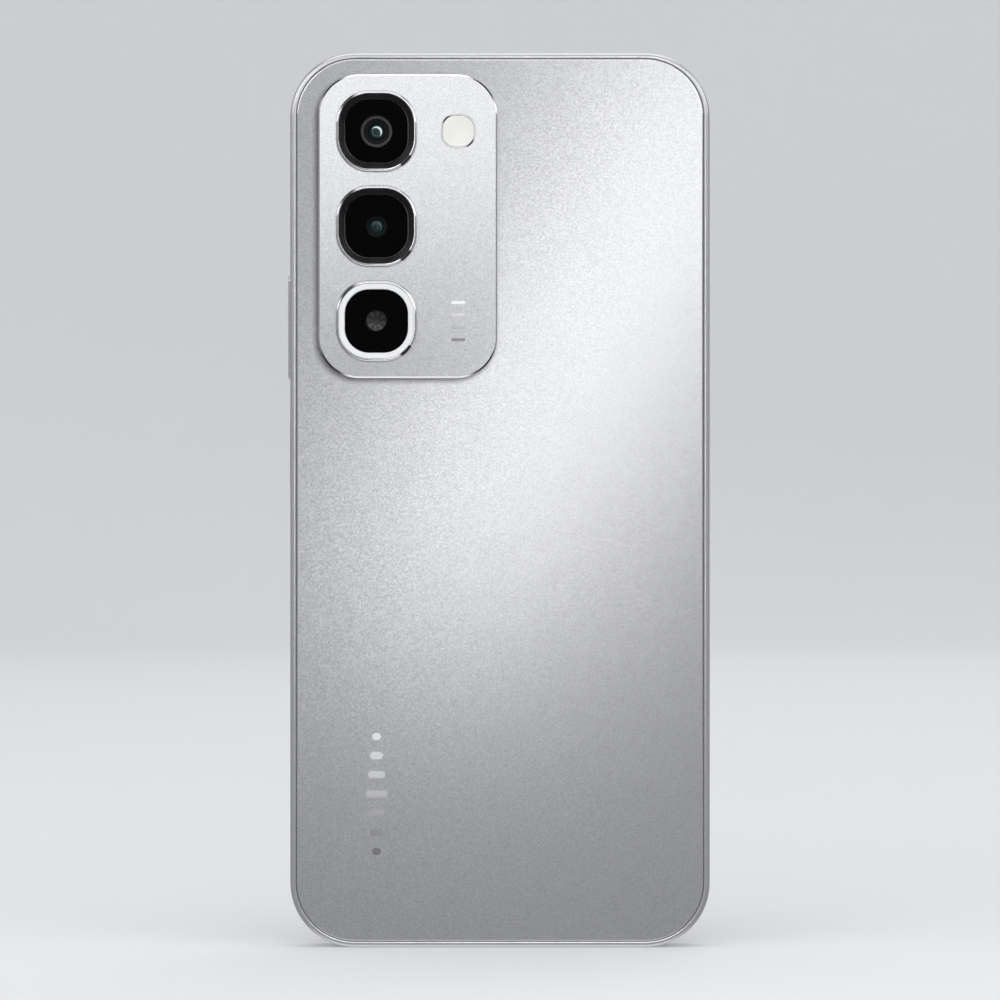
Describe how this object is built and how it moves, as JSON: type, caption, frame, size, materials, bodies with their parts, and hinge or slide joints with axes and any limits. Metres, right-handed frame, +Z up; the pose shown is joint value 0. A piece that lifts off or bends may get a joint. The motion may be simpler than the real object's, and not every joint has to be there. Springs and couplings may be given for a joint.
{
  "type": "smartphone",
  "caption": "Slim smartphone with rounded corners, a raised camera island, side keys, a card tray and a bottom port; upright, screen facing back.",
  "frame": {"origin": "centre of the charging port's mouth, in the middle of the bottom edge", "axes": "+Z up along the body to the top edge, -Y out of the rear cover and the cameras, +Y out of the display, +X to the right seen from the rear"},
  "size_m": [0.0784, 0.0102, 0.1661],
  "materials": {
    "frame_silver": "satin silver coating",
    "cover_silver": "satin silver with a fine metallic sparkle",
    "island_silver": "satin silver with a polished edge",
    "trim_steel": "polished",
    "bezel_grey": "dark satin grey",
    "diffuser_white": "milky white",
    "lens_glass": "black-printed, coated",
    "flash_lens": "clear lens over warm white emitters",
    "display_glass": "black border, polished",
    "display_panel": "dark",
    "backlight": "white film stack",
    "adhesive": "black foam tape",
    "mid_plate_alloy": "die-cast, matt",
    "board_green": "solder mask",
    "shield_tin": "tinned sheet",
    "cover_plastic": "moulded black",
    "battery_foil": "black wrap",
    "flex_amber": "polyimide ribbon",
    "graphite": "graphite sheet",
    "port_steel": "drawn steel",
    "tongue_black": "moulded black",
    "seal_rubber": "matt",
    "mesh_black": "woven acoustic mesh",
    "camera_black": "matt black",
    "sensor_case": "gilded capsule",
    "weight_steel": "sintered tungsten",
    "key_silver": "satin silver coating",
    "sensor_glass": "hard coated",
    "tray_metal": "satin silver coating",
    "screw_steel": "plated"
  },
  "bodies": {
    "phone": {"side_frame": "frame_silver", "mid_plate": "mid_plate_alloy", "display_glass": "display_glass", "display_panel": "display_panel", "backlight_unit": "backlight", "display_adhesive": "adhesive", "display_flex": "flex_amber", "earpiece_mesh": "mesh_black", "earpiece_speaker": "sensor_case", "front_camera": "camera_black", "rear_cover": "cover_silver", "cover_adhesive": "adhesive", "camera_island": "island_silver", "lens_trim_upper": "trim_steel", "lens_trim_middle": "trim_steel", "lens_trim_lower": "trim_steel", "lens_bezel_upper": "bezel_grey", "lens_bezel_middle": "bezel_grey", "light_ring": "diffuser_white", "lens_glass_upper": "lens_glass", "lens_glass_middle": "lens_glass", "lens_glass_lower": "lens_glass", "main_camera": "camera_black", "second_camera": "camera_black", "accent_lens": "camera_black", "light_ring_board": "board_green", "flash_lens": "flash_lens", "flash_led": "sensor_case", "light_sensor": "camera_black", "main_board": "board_green", "processor_shield": "shield_tin", "radio_shield": "shield_tin", "board_cover": "cover_plastic", "battery": "battery_foil", "battery_strap": "flex_amber", "graphite_sheet": "graphite", "sub_board": "board_green", "usb_shell": "port_steel", "usb_tongue": "tongue_black", "usb_seal": "seal_rubber", "loudspeaker": "cover_plastic", "speaker_mesh": "mesh_black", "speaker_cover": "cover_plastic", "vibration_motor": "shield_tin", "microphones": "sensor_case", "main_flex": "flex_amber", "antenna_cable": "seal_rubber", "key_switches": "flex_amber", "card_reader": "shield_tin", "screws": "screw_steel"},
    "volume_rocker": {"volume_key": "key_silver"},
    "power_button": {"power_key": "key_silver", "fingerprint_sensor": "sensor_glass"},
    "tray": {"card_tray": "tray_metal", "tray_seal": "seal_rubber"},
    "ejector_rod": {"eject_rod": "sensor_case"},
    "ejector_lever": {"eject_lever": "sensor_case"},
    "focus_carrier": {"focus_barrel": "camera_black"},
    "motor_rotor": {"vibration_weight": "weight_steel"},
    "speaker_cone": {"speaker_diaphragm": "mesh_black"}
  },
  "joints": [
    {"name": "volume_rock", "type": "hinge", "parent": "phone", "child": "volume_rocker", "pos_m": [-0.03675, 0, 0.1152], "axis": [0, 1, 0], "range_deg": [-1.2, 1.2], "stiffness_Nm_per_rad": 3},
    {"name": "power_press", "type": "slide", "parent": "phone", "child": "power_button", "axis": [1, 0, 0], "range_m": [0, 0.0002], "stiffness_N_per_m": 4000},
    {"name": "tray_pull", "type": "slide", "parent": "phone", "child": "tray", "axis": [1, 0, 0], "range_m": [0, 0.033]},
    {"name": "eject_push", "type": "slide", "parent": "phone", "child": "ejector_rod", "axis": [-1, 0, 0], "range_m": [0, 0.0012], "stiffness_N_per_m": 300},
    {"name": "eject_turn", "type": "hinge", "parent": "phone", "child": "ejector_lever", "pos_m": [0.00605, 0.00045, 0.1369], "axis": [0, -1, 0], "range_deg": [0, 20.5]},
    {"name": "focus_travel", "type": "slide", "parent": "phone", "child": "focus_carrier", "axis": [0, -1, 0], "range_m": [0, 0.0003], "stiffness_N_per_m": 60},
    {"name": "motor_spin", "type": "hinge", "parent": "phone", "child": "motor_rotor", "pos_m": [0.0215, -0.0008, 0.0164], "axis": [1, 0, 0], "continuous": true},
    {"name": "cone_travel", "type": "slide", "parent": "phone", "child": "speaker_cone", "axis": [0, -1, 0], "range_m": [-0.0002, 0.0002], "stiffness_N_per_m": 400}
  ],
  "couplings": [
    {"joint": "eject_turn", "follows": "eject_push", "rad_per_m": 294}
  ]
}
